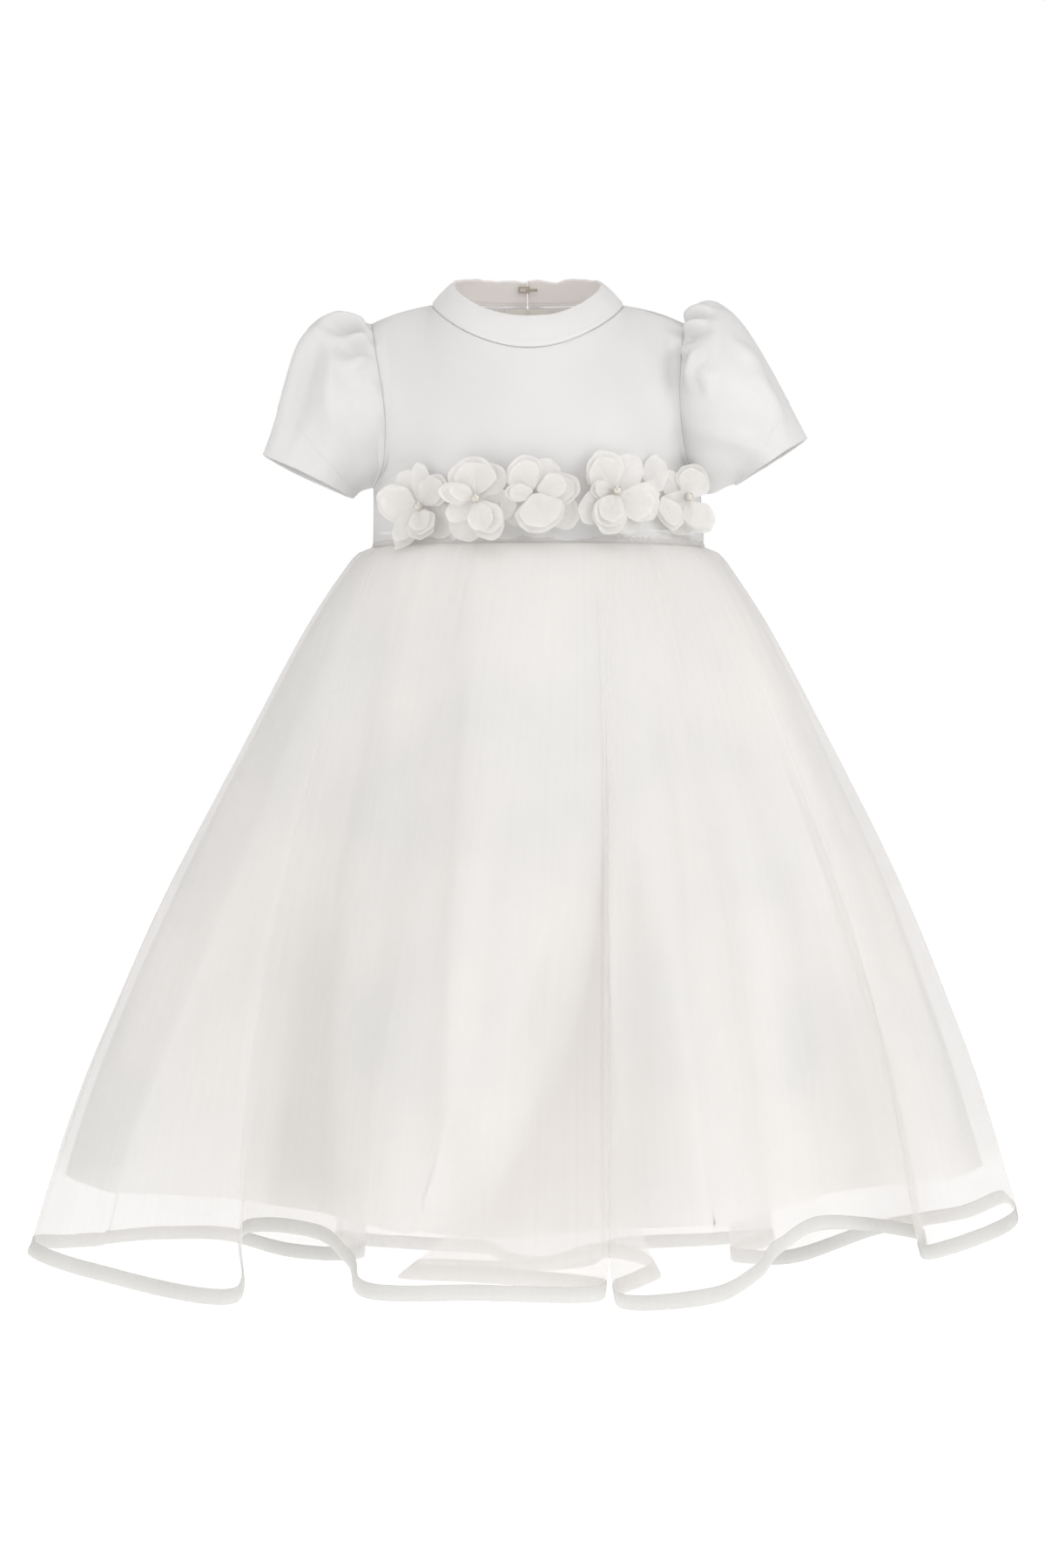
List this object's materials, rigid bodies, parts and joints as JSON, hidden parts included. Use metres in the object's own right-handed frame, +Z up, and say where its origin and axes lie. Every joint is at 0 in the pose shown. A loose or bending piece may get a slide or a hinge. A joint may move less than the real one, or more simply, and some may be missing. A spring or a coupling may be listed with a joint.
{
  "type": "flower girl dress",
  "caption": "Child's short-sleeved satin party dress with a band collar, flower band at the waist and a full folded organza skirt over a satin underskirt.",
  "frame": {"origin": "midway between the shoulder points of the wearer, where the dress is held up", "axes": "+X to the wearer's left, -Y to the front, +Z up; node names say left for -X, as seen from the front"},
  "size_m": [0.6269, 0.566, 0.648],
  "materials": {
    "satin": "soft duchess satin, warm white",
    "lining": "matt lining, warm white",
    "organza": "sheer crisp organza, warm white",
    "binding": "narrow turned organza binding",
    "petals": "heat-cut chiffon petals",
    "tape": "woven zip tape",
    "metal": "plated zip slider, pull, hook and eye",
    "pearl": "pearl bead"
  },
  "bodies": {
    "dress": {"collar": "satin", "bodice_front": "satin", "bodice_back_left": "satin", "bodice_back_right": "satin", "back_lining_left": "lining", "back_lining_right": "lining", "sleeve_left": "satin", "sleeve_right": "satin", "overskirt_front": "organza", "overskirt_back": "organza", "hem_binding_front": "binding", "hem_binding_back": "binding", "underskirt_front": "satin", "underskirt_back": "satin", "blossom_1": "petals", "blossom_2": "petals", "blossom_3": "petals", "blossom_4": "petals", "blossom_5": "petals", "blossom_6": "petals", "zip_tape": "tape", "zip_slider": "metal", "collar_eye": "metal", "collar_hook": "metal"},
    "zip_pull": {"zip_pull": "metal"}
  },
  "joints": [
    {"name": "zip_pull_swing", "type": "hinge", "parent": "dress", "child": "zip_pull", "pos_m": [-0.00163, 0.05755, 0.00641], "axis": [1, 0, 0], "range_deg": [0, 150]}
  ]
}
